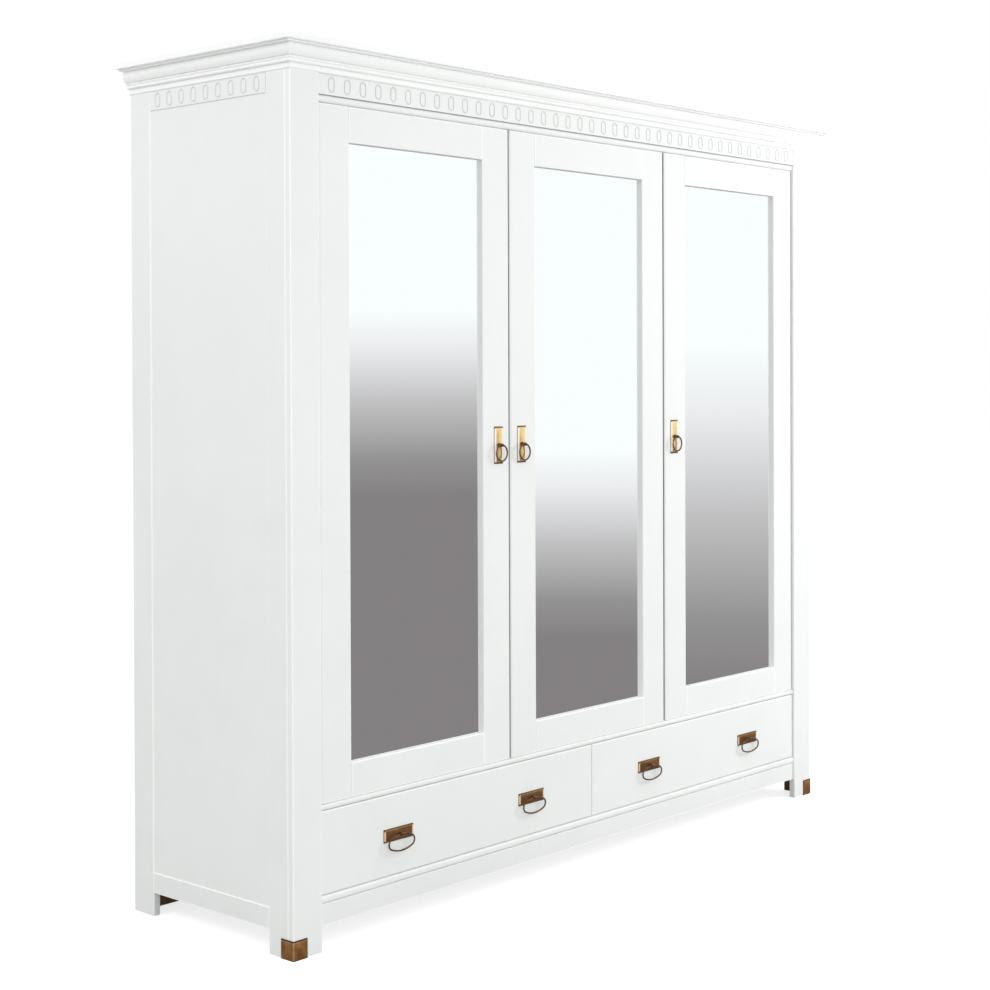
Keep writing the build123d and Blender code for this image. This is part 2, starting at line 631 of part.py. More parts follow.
def door_pieces(x_start):
    """Pieces of a door hinged on its left edge, which is at x_start."""
    x_end = x_start + door_width
    y_range = (y_door, y_door_back)
    y_axis = y_door + DOOR_THICKNESS / 2
    x_axis = x_start + DOOR_THICKNESS / 2
    x_sight = (x_start + DOOR_STILE_WIDTH, x_end - DOOR_STILE_WIDTH)
    z_sight = (door_foot + DOOR_BOTTOM_RAIL, door_head - DOOR_TOP_RAIL)
    x_rebate = (x_sight[0] - REBATE, x_sight[1] + REBATE)
    z_rebate = (z_sight[0] - REBATE, z_sight[1] + REBATE)
    pocket = box(x_rebate, (y_mirror, y_door_back), z_rebate)

    hinge_stile = box((x_start, x_sight[0]), y_range, (door_foot, door_head))
    hinge_stile = fillet(edges_at(hinge_stile, Axis.Z, X=x_sight[0], Y=y_door), SIGHT_ARRIS)
    full_round = DOOR_THICKNESS / 2 * HINGE_EDGE_ROUND
    hinge_stile = fillet(edges_at(hinge_stile, Axis.Z, X=x_start), full_round)
    hole = Cylinder(PIVOT_RADIUS + SEAT_CLEARANCE, PIVOT_DEPTH)
    for z_hole in (door_foot + PIVOT_DEPTH / 2, door_head - PIVOT_DEPTH / 2):
        hinge_stile -= Pos(x_axis, y_axis, z_hole) * hole
    meeting_stile = box((x_sight[1], x_end), y_range, (door_foot, door_head))
    meeting_stile = fillet(edges_at(meeting_stile, Axis.Z, X=x_sight[1], Y=y_door), SIGHT_ARRIS)
    meeting_stile = fillet(edges_at(meeting_stile, Axis.Z, X=x_end, Y=y_door), MEETING_ARRIS)
    stiles = group(hinge_stile - pocket, meeting_stile - pocket)

    bottom_rail = box(x_sight, y_range, (door_foot, z_sight[0]))
    bottom_rail = fillet(edges_at(bottom_rail, Axis.X, Y=y_door, Z=z_sight[0]), SIGHT_ARRIS)
    top_rail = box(x_sight, y_range, (z_sight[1], door_head))
    top_rail = fillet(edges_at(top_rail, Axis.X, Y=y_door, Z=z_sight[1]), SIGHT_ARRIS)
    rails = group(bottom_rail - pocket, top_rail - pocket)

    gap = MIRROR_CLEARANCE
    mirror_glass = box(
        (x_rebate[0] + gap, x_rebate[1] - gap),
        (y_mirror, y_mirror + MIRROR_THICKNESS),
        (z_rebate[0] + gap, z_rebate[1] - gap),
    )
    y_backing = y_mirror + MIRROR_THICKNESS
    backing = box(x_rebate, (y_backing, y_backing + BACKING_THICKNESS), z_rebate)

    pin_reach = LEVEL_GAP + BUSH_LENGTH - PIN_END_GAP
    pin_length = PIVOT_DEPTH + pin_reach
    low_pin = Pos(x_axis, y_axis, door_foot - pin_reach + pin_length / 2)
    high_pin = Pos(x_axis, y_axis, door_head + pin_reach - pin_length / 2)
    pin = Cylinder(PIVOT_RADIUS, pin_length)
    pivots = group(low_pin * pin, high_pin * pin)

    x_handle = x_end - DOOR_PLATE_INSET
    plate = handle_plate(DOOR_PLATE, x_handle, HANDLE_HEIGHT, y_door)
    y_wire = y_door - PLATE_THICKNESS - RING_STANDOFF
    ring = wire_loop(ring_run(), x_handle, y_wire, HANDLE_HEIGHT)
    return {
        "stiles": stiles, "rails": rails, "mirror": mirror_glass, "backing": backing,
        "pivots": pivots, "plate": plate, "ring": ring,
    }


def door(index):
    """The left door hangs on the left, the other two on the right."""
    if index == 0:
        return door_pieces(door_start(index))
    flipped = door_pieces(-door_start(index) - door_width)
    return {name: mirrored(shape) for name, shape in flipped.items()}


# ---- drawers ----
def box_outer_x():
    """Distance from the middle plane to a drawer box's outer face."""
    return x_open - EDGE_GAP - DRAWER_SIDE_GAP


def left_drawer():
    x_range = (-x_open + EDGE_GAP, -MEETING_GAP / 2)
    z_range = (z_drawer + LEVEL_GAP, z_mid - LEVEL_GAP)
    front = box(x_range, (y_door, y_drawer_back), z_range)
    front = fillet(front.faces().sort_by(Axis.Y)[0].edges(), FRONT_ARRIS)

    y_end = y_back_panel - DRAWER_BACK_CLEARANCE
    z_foot = z_drawer + DRAWER_BOX_LIFT
    z_side = (z_foot, z_mid - DRAWER_TOP_CLEARANCE)
    outer = -box_outer_x()
    inner = -SHELF_BOARD / 2 - DRAWER_SIDE_GAP
    outer_side = box((outer, outer + DRAWER_SIDE), (y_drawer_back, y_end), z_side)
    inner_side = box((inner - DRAWER_SIDE, inner), (y_drawer_back, y_end), z_side)
    x_between = (outer + DRAWER_SIDE, inner - DRAWER_SIDE)
    back = box(x_between, (y_end - DRAWER_SIDE, y_end), z_side)
    z_bottom = z_foot + DRAWER_BOTTOM_LIFT
    y_bottom = (y_drawer_back, y_end - DRAWER_SIDE)
    bottom = box(x_between, y_bottom, (z_bottom, z_bottom + DRAWER_BOTTOM))

    x_middle = (x_range[0] + x_range[1]) / 2
    z_middle = (z_range[0] + z_range[1]) / 2
    y_wire = y_door - PLATE_THICKNESS - RING_STANDOFF
    places = {"outer": x_middle - DRAWER_HANDLE_SPREAD, "inner": x_middle + DRAWER_HANDLE_SPREAD}
    plates = [handle_plate(DRAWER_PLATE, x, z_middle, y_door) for x in places.values()]
    pieces = {
        "front": front,
        "box": group(outer_side, inner_side, back, bottom),
        "plates": group(*plates),
    }
    for name, x in places.items():
        pieces["bail_" + name] = wire_loop(bail_run(), x, y_wire, z_middle)
    return pieces


# ---- the whole armoire, node by node ----
nodes = {
    "front_stile_left": front_stile(),
    "front_stile_right": mirrored(front_stile()),
    "side_stiles": side_stiles(),
    "side_panel_left": side_panel(),
    "side_panel_right": mirrored(side_panel()),
    "side_rails": side_rails(),
    "side_friezes": side_friezes(),
    "foot_caps": foot_caps(),
    "back_frame": back_frame(),
    "back_panels": back_panels(),
    "front_frieze": front_frieze(),
    "top_bar": top_bar(),
    "mid_rail": mid_rail(),
    "bottom_bead": bottom_bead(),
    "front_apron": front_apron(),
    "cornice_moulding": mitred_frame(moulding_profile()),
    "cap_moulding": mitred_frame(cap_profile()),
    "roof_board": roof_board(),
    "wardrobe_floor": wardrobe_floor(),
    "bottom_board": bottom_board(),
    "partition": partition(),
    "drawer_supports": drawer_supports(),
    "hat_shelf": hat_shelf(),
    "side_shelves": side_shelves(),
    "shelf_cleats": shelf_cleats(),
    "hanging_rail": hanging_rail(),
    "rail_fittings": rail_fittings(),
    "pivot_bushes": pivot_bushes(),
    "door_catches": door_catches(),
}

for index, side in enumerate(("left", "middle", "right")):
    for name, shape in door(index).items():
        nodes[f"door_{side}_{name}"] = shape

for name, shape in left_drawer().items():
    nodes[f"drawer_left_{name}"] = shape
    nodes[f"drawer_right_{name}"] = mirrored(shape)

os.makedirs("parts", exist_ok=True)
for name, shape in nodes.items():
    export_step(shape, f"parts/{name}.step")
print(len(nodes), "nodes written")
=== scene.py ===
from math import asin, cos, pi, radians, sin, sqrt
import bpy
from mathutils import Matrix, Vector


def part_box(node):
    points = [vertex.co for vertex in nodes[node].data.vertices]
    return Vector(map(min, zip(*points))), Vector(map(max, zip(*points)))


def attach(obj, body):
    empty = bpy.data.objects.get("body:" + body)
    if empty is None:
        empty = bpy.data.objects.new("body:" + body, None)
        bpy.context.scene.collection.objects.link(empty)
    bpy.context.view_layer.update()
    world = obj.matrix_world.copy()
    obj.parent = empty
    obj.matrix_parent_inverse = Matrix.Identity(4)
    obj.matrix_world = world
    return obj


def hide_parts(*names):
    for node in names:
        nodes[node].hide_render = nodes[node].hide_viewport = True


# Looks of the painted three-door armoire: lacquer, bare wood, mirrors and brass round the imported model.
# Metres, +Z up, -Y is the front, in the frame of the model.

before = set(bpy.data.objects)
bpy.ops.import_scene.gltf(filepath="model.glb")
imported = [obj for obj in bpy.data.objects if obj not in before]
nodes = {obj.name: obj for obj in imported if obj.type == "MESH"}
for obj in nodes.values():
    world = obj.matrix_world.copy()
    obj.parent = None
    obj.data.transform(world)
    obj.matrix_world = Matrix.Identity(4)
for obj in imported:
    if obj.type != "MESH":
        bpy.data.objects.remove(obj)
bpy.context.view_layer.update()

MM = 0.001
FRONTWARD = (pi / 2, 0, 0)       # turns that point a primitive's axis to the front or the side
SIDEWAYS = (0, pi / 2, 0)
SHARP_ANGLE = 35                 # degrees; faces that meet at less are shaded as one
ROUND_SIDES = 32
MERGE_GAP = 0.01 * MM

# ---- handle plates ----
PLATE_EDGE = 1.2 * MM            # straight edge of a plate, below its bevel
PLATE_THICKNESS = 3.0 * MM
PLATE_BEVEL = 4.6 * MM
PLATE_SOFTENING = 0.35 * MM
NAIL_RADIUS = 1.5 * MM
NAIL_RISE = 0.9 * MM
NAIL_INSET = 3.0 * MM            # plate's corner to the nail
ROSETTE_RADIUS = 6.0 * MM
ROSETTE_HEIGHT = 1.2 * MM
ROSETTE_ROUNDING = 0.8 * ROSETTE_HEIGHT
NECK_RADIUS = 3.0 * MM
KNUCKLE_RADIUS = 4.4 * MM
KNUCKLE_WIDTH = 6.9 * MM
KNUCKLE_BORE = 2.1 * MM
KNUCKLE_ROUNDING = 0.7 * MM

# ---- rings and bails ----
WIRE_RADIUS = 2.0 * MM
WIRE_SIDES = 20
WIRE_SHARP_ANGLE = 80
WIRE_MERGE_GAP = 0.05 * MM       # between the wire's two halves
PIN_SPAN = 4.2 * MM              # half of the wire's straight stretch in the knuckle
RING_RADIUS = 20.0 * MM
BAIL_HALF_WIDTH = 42.0 * MM
BAIL_HALF_HEIGHT = 19.0 * MM
BAIL_END_RADIUS = 13.0 * MM

# ---- foot caps ----
CAP_SHEET = 2.0 * MM
CAP_ROUNDING = 4.0 * MM
CAP_SOFTENING = 0.5 * MM
CAP_SOFTENED_ANGLE = 40          # degrees; only sharper edges are softened
CAP_NAIL_INSET = 5.0 * MM
CAP_NAIL_RISE = 0.3 * NAIL_RISE

# ---- where the finishes change ----
GRAIN = {"x": (0.04, 1, 1), "y": (1, 0.04, 1), "z": (1, 1, 0.04)}
ARRIS = (1.4 * MM, 3.0 * MM)     # width of the painted arris highlight from a board's corner: full brightness to none
MIRROR_LAP = 9.5 * MM            # of the mirror behind the door's rails
EDGE_REACH = 14.0 * MM           # depth of the painted gap shade on a door's edge, from its outer edge
EDGE_FACING = {"left": 0.9, "middle": 0.6, "right": 0.6}   # higher where the painted gap shade goes round the corner
CARVING_FACING = 0.97            # carved faces that look less than this straight out get painted shade
FACING_FADE = 0.25
HIDDEN_FACING = 0.5              # faces that look more than this inwards or backwards are bare
# side bevels that carry the painted highlight: pale, less metallic brass for light caught on them
SIDE_BEVEL = (PLATE_BEVEL + 0.4 * MM, PLATE_BEVEL + 1.2 * MM)
SIDE_PATINA = (0.5 * MM, 1.1 * MM)
# fade of the painted shade at a plate's upper and lower end
END_SHADE_FADE = 0.7 * MM
CORNER_PATINA = (3.0 * MM, 6.5 * MM)
PLATE_DARK_DRIFT = 0.6 * MM          # how far the clouds of tarnish shift the edges of the patina and painted shade
CAP_EDGE_DRIFT = 0.8 * MM
HIGHLIGHT_METALLIC = -0.65            # added to a plate's metallic where its side bevels carry the painted highlight
DULLED = 0.28                    # added to a plate's roughness under patina, painted shade and the painted highlight
CAP_FOLD = (1.5 * MM, 4.5 * MM)
# dark band along the top edge: painted shade
CAP_HEAD = (3.2 * MM, 4.4 * MM)
CAP_LINE = (4.2 * MM, 6.4 * MM)  # painted highlight below the dark head
CAP_RIM = (1.0 * MM, 2.6 * MM)

# ---- colours (linear) ----
WHITE = (0.870, 0.882, 0.872, 1)
WHITE_SHADE = (0.845, 0.858, 0.848, 1)
# painted highlight: near-white for light caught on rounded arrises, also the light tone of the whitened
# mouldings
PAINTED_HIGHLIGHT_WHITE = (0.985, 0.985, 0.98, 1)
# painted light: the mouldings are whiter than the other lacquer, standing in for light falling on the
# cornice
MOULDING_LIT_WHITE = (0.95, 0.955, 0.95, 1)
# painted shadow: dark grey on the doors' edges for the shade in the gaps between doors
DOOR_GAP_SHADE = (0.34, 0.34, 0.33, 1)
# painted shade: grey on the carvings' walls for the shade in the grooves
CARVING_SHADE = (0.70, 0.71, 0.70, 1)
INSIDE_WHITE = (0.80, 0.80, 0.775, 1)
INSIDE_SHADE = (0.76, 0.76, 0.735, 1)
BROWN_WOOD = (0.25, 0.135, 0.065, 1)
BROWN_WOOD_DARK = (0.13, 0.065, 0.03, 1)
PALE_WOOD = (0.62, 0.45, 0.27, 1)
PALE_WOOD_DARK = (0.47, 0.31, 0.17, 1)
SILVER = (0.985, 0.995, 0.995, 1)
SILVER_DULL = (0.975, 0.99, 0.985, 1)
GOLD = (1.0, 0.77, 0.37, 1)
GOLD_DEEP = (0.92, 0.60, 0.24, 1)
# painted highlight on the plates' side bevels
GOLD_HIGHLIGHT = (1.0, 0.965, 0.84, 1)
# dark patina at the thin edges and corners, and painted shade on the upper and lower bevels
GOLD_PATINA_AND_SHADE = (0.13, 0.055, 0.02, 1)
ANTIQUE = (0.36, 0.19, 0.075, 1)
ANTIQUE_DEEP = (0.25, 0.12, 0.045, 1)
# painted highlight on the plates' side bevels
ANTIQUE_HIGHLIGHT = (0.80, 0.56, 0.33, 1)
# dark patina at the thin edges and corners, and painted shade on the upper and lower bevels
ANTIQUE_PATINA_AND_SHADE = (0.045, 0.022, 0.012, 1)
DARK_BRASS = (0.27, 0.14, 0.075, 1)
DARK_BRASS_DEEP = (0.13, 0.065, 0.035, 1)
CAP_BRASS = (0.62, 0.31, 0.115, 1)
CAP_BRASS_DEEP = (0.44, 0.21, 0.07, 1)
# paler brass along the fold, and the painted highlight below the top
CAP_BRASS_PALE = (0.92, 0.60, 0.34, 1)
# painted shade in the band at the top, and the darker rims
CAP_PATINA_AND_SHADE = (0.10, 0.045, 0.025, 1)
BUSH_BRASS = (0.72, 0.52, 0.24, 1)
BUSH_BRASS_DEEP = (0.60, 0.40, 0.17, 1)
STEEL = (0.66, 0.67, 0.68, 1)
STEEL_DARK = (0.52, 0.53, 0.54, 1)
PLASTIC = (0.84, 0.84, 0.81, 1)
PLASTIC_SHADE = (0.78, 0.78, 0.75, 1)
FLOOR = (0.61, 0.61, 0.61, 1)
FLOOR_SHADE = (0.59, 0.59, 0.59, 1)

# ---- roughness, from the glossiest spots to the dullest ----
LACQUER_GLOSS = (0.30, 0.42)
WOOD_GLOSS = (0.55, 0.75)
GLASS_HAZE = (0.004, 0.012)
DARK_BRASS_GLOSS = (0.26, 0.4)
BUSH_GLOSS = (0.22, 0.34)
CAP_GLOSS = (0.34, 0.5)
STEEL_GLOSS = (0.18, 0.32)
PLASTIC_GLOSS = (0.38, 0.5)
LACQUER_IOR = 1.48

# band is the stretch of painted shade at a plate's upper and lower end.
GOLD_PLATE = {
    "axis": "z", "band": 3.9 * MM, "light": GOLD, "deep": GOLD_DEEP, "bevel_highlight": GOLD_HIGHLIGHT,
    "patina_and_shade": GOLD_PATINA_AND_SHADE, "gloss": (0.10, 0.18), "metallic": 0.75,
}
BROWN_PLATE = {
    "axis": "x", "band": 1.6 * MM, "light": ANTIQUE, "deep": ANTIQUE_DEEP, "bevel_highlight": ANTIQUE_HIGHLIGHT,
    "patina_and_shade": ANTIQUE_PATINA_AND_SHADE, "gloss": (0.3, 0.42), "metallic": 0.8,
}

# ---- camera ----
CAMERA_PLACE = (-3.6877, -3.2473, 1.3040)
CAMERA_LENS = 65.2
CAMERA_SHIFT_Y = -0.1075
CAMERA_YAW = 47.924
CAMERA_DIP = 0.552
CAMERA_ROLL = 0.20

# ---- studio ----
# Bearings are from -Y towards +X, in degrees, and so are the heights above the horizon.
HORIZON_STEPS = [(47.7, 49.1), (52.75, 53.95)]      # where the studio's horizon line shifts
BRIGHT_EDGE = (1.95, -4.45, 3.3)                    # height where the white ends, and its shifts
DARK_EDGE = (-3.96, -4.54, -1.5)                    # height where the grey is full, and its shifts
STUDIO_TONES = [
    (0.0, (0.965, 1.0, 1.0)), (0.2, (0.847, 0.846, 0.862)), (0.5, (0.538, 0.531, 0.541)),
    (0.8, (0.300, 0.293, 0.295)), (1.0, (0.236, 0.220, 0.223)),
]
AMBIENT = 0.90
AMBIENT_COLOUR = (0.985, 1.0, 0.99, 1)
FLOOR_SIZE = 60
FLOOR_ROUGHNESS = 0.9
FLOOR_GLOW = 0.75
PANEL_FADES = [(0.0, 0.45), (1.0, 0.55)]            # across the softened panel: dark to full


# ---- modelling ----
def take(piece):
    """Make one piece the only selected one, and the active one."""
    bpy.ops.object.select_all(action="DESELECT")
    piece.select_set(True)
    bpy.context.view_layer.objects.active = piece


def settle(name):
    """Put the active piece's place into its mesh and name it."""
    piece = bpy.context.object
    take(piece)
    bpy.ops.object.transform_apply(location=True, rotation=True, scale=True)
    piece.name = name
    piece.data.name = name
    return piece


def open_piece(piece, kind, wanted):
    """Go into edit mode with only the wanted faces or edges selected."""
    take(piece)
    bpy.ops.object.mode_set(mode="EDIT")
    bpy.ops.mesh.select_mode(type=kind)
    bpy.ops.mesh.select_all(action="DESELECT")
    bpy.ops.object.mode_set(mode="OBJECT")
    mesh = piece.data
    if kind == "FACE":
        for face in mesh.polygons:
            face.select = wanted(face.center, face.normal)
    else:
        for edge in mesh.edges:
            edge.select = wanted(*[mesh.vertices[end].co for end in edge.vertices])
    bpy.ops.object.mode_set(mode="EDIT")


def close_piece():
    bpy.ops.object.mode_set(mode="OBJECT")


def towards_front(middle, normal):
    return normal.y < -0.5


def straight_to_front(middle, normal):
    return normal.y < -0.99


def everything(*part):
    return True


def push_out(x=0, y=0):
    """Extrude the selected faces or edges."""
    bpy.ops.mesh.extrude_region_move(TRANSFORM_OT_translate={"value": (x, y, 0)})


def finish_surface(piece, sharp_angle=SHARP_ANGLE):
    """Merge doubles, turn the faces outwards and shade the curved ones smoothly."""
    take(piece)
    bpy.ops.object.mode_set(mode="EDIT")
    bpy.ops.mesh.select_all(action="SELECT")
    bpy.ops.mesh.remove_doubles(threshold=MERGE_GAP)
    bpy.ops.mesh.normals_make_consistent(inside=False)
    bpy.ops.object.mode_set(mode="OBJECT")
    bpy.ops.object.shade_smooth_by_angle(angle=radians(sharp_angle))


def apply_modifier(piece, kind, **settings):
    take(piece)
    made = piece.modifiers.new(kind.title(), kind)
    for name, value in settings.items():
        setattr(made, name, value)
    bpy.ops.object.modifier_apply(modifier=made.name)


def joined(name, pieces):
    """One piece made of several."""
    bpy.ops.object.select_all(action="DESELECT")
    for piece in pieces:
        piece.select_set(True)
    bpy.context.view_layer.objects.active = pieces[0]
    bpy.ops.object.join()
    return settle(name)


def nail_head(centre, rise, axis_turn):
    """A low round nail head, standing out along the axis that the turn gives."""
    bpy.ops.object.select_all(action="DESELECT")
    bpy.ops.mesh.primitive_uv_sphere_add(
        segments=16, ring_count=8, radius=NAIL_RADIUS, location=centre, rotation=axis_turn,
    )
    bpy.context.object.scale = (1, 1, rise / NAIL_RADIUS)
    head = settle("head")
    bpy.ops.object.shade_smooth()
    return head


def set_finish(piece, material):
    piece.data.materials.clear()
    piece.data.materials.append(material)


# ---- handle plates ----
def map_plate(plate, low, high):
    """Give the plate a map that runs from 0 to 1 over its face, for the patina at its edges."""
    layers = plate.data.uv_layers
    face_map = layers[0] if layers else layers.new(name="face")
    for loop in plate.data.loops:
        place = plate.data.vertices[loop.vertex_index].co
        across = (place.x - low.x) / (high.x - low.x)
        up = (place.z - low.z) / (high.z - low.z)
        face_map.data[loop.index].uv = (across, up)


def bevelled_plate(low, high):
    """Thin edges, a wide bevel and a flat field."""
    centre = (low + high) / 2
    y_middle = high.y - PLATE_EDGE / 2
    bpy.ops.object.select_all(action="DESELECT")
    bpy.ops.mesh.primitive_cube_add(
        size=1, location=(centre.x, y_middle, centre.z),
        scale=(high.x - low.x, PLATE_EDGE, high.z - low.z),
    )
    plate = settle("plate")
    open_piece(plate, "FACE", towards_front)
    bpy.ops.mesh.inset(thickness=PLATE_BEVEL, depth=PLATE_THICKNESS - PLATE_EDGE)
    close_piece()
    open_piece(plate, "EDGE", lambda start, end: min(start.y, end.y) < y_middle)
    bpy.ops.mesh.bevel(offset=PLATE_SOFTENING, segments=3)
    close_piece()
    finish_surface(plate)
    map_plate(plate, low, high)
    return plate


def rosette(centre, y_field):
    """A small round rose on the plate, with the neck that carries the barrel."""
    bpy.ops.object.select_all(action="DESELECT")
    bpy.ops.mesh.primitive_cylinder_add(
        vertices=ROUND_SIDES, radius=ROSETTE_RADIUS, depth=ROSETTE_HEIGHT, rotation=FRONTWARD,
        location=(centre.x, y_field - ROSETTE_HEIGHT / 2, centre.z),
    )
    rose = settle("rosette")
    open_piece(rose, "FACE", towards_front)
    bpy.ops.mesh.bevel(offset=ROSETTE_ROUNDING, segments=4)
    close_piece()
    open_piece(rose, "FACE", straight_to_front)
    bpy.ops.mesh.inset(thickness=ROSETTE_RADIUS - ROSETTE_HEIGHT - NECK_RADIUS)
    push_out(y=centre.y + KNUCKLE_BORE - (y_field - ROSETTE_HEIGHT))
    close_piece()
    finish_surface(rose)
    return rose


def barrel(centre):
    """The bored barrel that the wire turns in."""
    bpy.ops.object.select_all(action="DESELECT")
    bpy.ops.mesh.primitive_circle_add(
        vertices=ROUND_SIDES, radius=KNUCKLE_RADIUS, fill_type="NOTHING", rotation=SIDEWAYS,
        location=(centre.x - KNUCKLE_WIDTH / 2, centre.y, centre.z),
    )
    tube = settle("barrel")
    open_piece(tube, "EDGE", everything)
    push_out(x=KNUCKLE_WIDTH)
    close_piece()
    finish_surface(tube)
    apply_modifier(tube, "SOLIDIFY", thickness=KNUCKLE_RADIUS - KNUCKLE_BORE, offset=-1)
    apply_modifier(tube, "BEVEL", width=KNUCKLE_ROUNDING, segments=3, limit_method="ANGLE")
    finish_surface(tube)
    return tube


def corner_nails(low, high):
    """Four nail heads on a plate's bevel, near its corners."""
    slope = (PLATE_THICKNESS - PLATE_EDGE) / PLATE_BEVEL
    y_bevel = high.y - PLATE_EDGE - slope * NAIL_INSET
    places = [
        (x, y_bevel, z)
        for x in (low.x + NAIL_INSET, high.x - NAIL_INSET)
        for z in (low.z + NAIL_INSET, high.z - NAIL_INSET)
    ]
    return [nail_head(place, NAIL_RISE, FRONTWARD) for place in places]


def handle(name, low, high, y_pin, body, finishes):
    """A plate, and its knuckle and its nails as pieces of their own."""
    plate_finish, dark_finish = finishes
    plate = bevelled_plate(low, high)
    centre = Vector(((low.x + high.x) / 2, y_pin, (low.z + high.z) / 2))
    eye = joined(name + "_eye", [rosette(centre, high.y - PLATE_THICKNESS), barrel(centre)])
    nails = joined(name + "_nails", corner_nails(low, high))
    take(plate)
    plate = settle(name)
    for piece, material in ((plate, plate_finish), (eye, dark_finish), (nails, dark_finish)):
        set_finish(piece, material)
        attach(piece, body)
    return plate


# ---- rings and bails ----
def bent_wire(name, pin, turns):
    """A closed loop of round wire hanging from a straight pin.

    The right half is swept through its turns, each a centre (across, up) from the pin, an angle
    and a number of steps, and the left half is its mirror image.
    """
    bpy.ops.object.select_all(action="DESELECT")
    bpy.ops.mesh.primitive_circle_add(
        vertices=WIRE_SIDES, radius=WIRE_RADIUS, fill_type="NOTHING", rotation=SIDEWAYS, location=pin,
    )
    loop = settle(name)
    open_piece(loop, "EDGE", everything)
    push_out(x=PIN_SPAN)
    across, up = turns[0][0]
    tilt = asin((PIN_SPAN - across) / sqrt((PIN_SPAN - across) ** 2 + up ** 2))
    bpy.ops.transform.rotate(
        value=-tilt, orient_axis="Y", orient_type="GLOBAL",
        center_override=(pin.x + PIN_SPAN, pin.y, pin.z),
    )
    for (across, up), angle, steps in turns:
        bpy.ops.mesh.spin(
            steps=steps, angle=angle, center=(pin.x + across, pin.y, pin.z + up), axis=(0, -1, 0),
        )
    close_piece()
    loop.data.transform(Matrix.Translation(-pin))
    apply_modifier(loop, "MIRROR", use_axis=(True, False, False), merge_threshold=WIRE_MERGE_GAP)
    loop.data.transform(Matrix.Translation(pin))
    finish_surface(loop, WIRE_SHARP_ANGLE)
    return loop


def ring(name, pin):
    drop = sqrt(RING_RADIUS ** 2 - PIN_SPAN ** 2)
    angle = pi - asin(PIN_SPAN / RING_RADIUS)
    return bent_wire(name, pin, [((0, -drop), angle, 40)])


def bail(name, pin):
    """A four-arc oval."""
    tip = BAIL_HALF_WIDTH - BAIL_END_RADIUS
    rise = BAIL_HALF_HEIGHT - BAIL_END_RADIUS
    drop = (tip ** 2 - rise ** 2) / (2 * rise)
    radius = BAIL_HALF_HEIGHT + drop
    z_pin = sqrt(radius ** 2 - PIN_SPAN ** 2) - drop
    flank = asin(tip / (radius - BAIL_END_RADIUS))
    start = asin(PIN_SPAN / radius)
    turns = [
        ((0, -drop - z_pin), flank - start, 10),
        ((tip, -z_pin), pi - 2 * flank, 18),
        ((0, drop - z_pin), flank, 12),
    ]
    return bent_wire(name, pin, turns)


def hang(wire, node, material):
    """Put a ring or bail in the place of its node, on the body of the same name."""
    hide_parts(node)
    set_finish(wire, material)
    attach(wire, node)


def wire_pin(node):
    """Middle of the straight pin that a ring or bail turns on."""
    low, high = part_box(node)
    return Vector(((low.x + high.x) / 2, (low.y + high.y) / 2, high.z - WIRE_RADIUS))


# ---- foot caps ----
def folded_sheet(side, low, high):
    """A sheet up the leg's outer side, round its front corner and along its front."""
    reach = high.y - low.y
    x_out, inward = side * high.x, -side
    y_start = high.y - reach / 2
    y_fold = low.y + CAP_ROUNDING
    bpy.ops.object.select_all(action="DESELECT")
    bpy.ops.mesh.primitive_plane_add(
        size=1, location=(x_out, high.y - reach / 4, high.z / 2), rotation=SIDEWAYS,
    )
    bpy.context.object.scale = (high.z, reach / 2, 1)
    sheet = settle("sheet")
    open_piece(sheet, "EDGE", lambda start, end: max(start.y, end.y) < y_start + MM)
    push_out(y=y_fold - y_start)
    bpy.ops.mesh.spin(
        steps=8, angle=side * pi / 2, axis=(0, 0, 1),
        center=(x_out + inward * CAP_ROUNDING, y_fold, high.z / 2),
    )
    push_out(x=inward * (reach - CAP_ROUNDING))
    close_piece()
    finish_surface(sheet)
    if side * sum(face.normal.x for face in sheet.data.polygons) < 0:
        open_piece(sheet, "FACE", everything)
        bpy.ops.mesh.flip_normals()
        close_piece()
    return sheet


def foot_cap(name, side, material):
    """A folded sheet with its thickness, and two nails at each end."""
    low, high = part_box("foot_caps")
    cap = folded_sheet(side, low, high)
    apply_modifier(cap, "SOLIDIFY", thickness=CAP_SHEET, offset=-1, use_even_offset=True)
    apply_modifier(
        cap, "BEVEL", width=CAP_SOFTENING, segments=3, limit_method="ANGLE",
        angle_limit=radians(CAP_SOFTENED_ANGLE),
    )
    finish_surface(cap)
    x_inner = side * (high.x - (high.y - low.y) + CAP_NAIL_INSET)
    heads = []
    for z in (CAP_NAIL_INSET, high.z - CAP_NAIL_INSET):
        side_place = (side * high.x, high.y - CAP_NAIL_INSET, z)
        heads.append(nail_head(side_place, CAP_NAIL_RISE, SIDEWAYS))
        heads.append(nail_head((x_inner, low.y, z), CAP_NAIL_RISE, FRONTWARD))
    nails = joined(name + "_nails", heads)
    take(cap)
    cap = settle(name)
    for piece in (cap, nails):
        set_finish(piece, material)
        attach(piece, "carcass")
    return cap


# ---- node trees ----
def feed(tree, socket, value):
    if isinstance(value, bpy.types.NodeSocket):
        tree.links.new(value, socket)
    else:
        socket.default_value = value


def add(tree, kind, inputs, **settings):
    """A shader node with its settings and its inputs, which are values or other nodes' outputs."""
    made = tree.nodes.new("ShaderNode" + kind)
    for name, value in settings.items():
        setattr(made, name, value)
    for key, value in inputs.items():
        feed(tree, made.inputs[key], value)
    return made


def calc(tree, operation, *values):
    return add(tree, "Math", dict(enumerate(values)), operation=operation).outputs[0]


def distance(tree, value, other):
    return calc(tree, "ABSOLUTE", calc(tree, "SUBTRACT", value, other))


def blend(tree, share, first, second):
    """A colour between two others."""
    inputs = {"Factor": share, 6: first, 7: second}
    return add(tree, "Mix", inputs, data_type="RGBA").outputs[2]


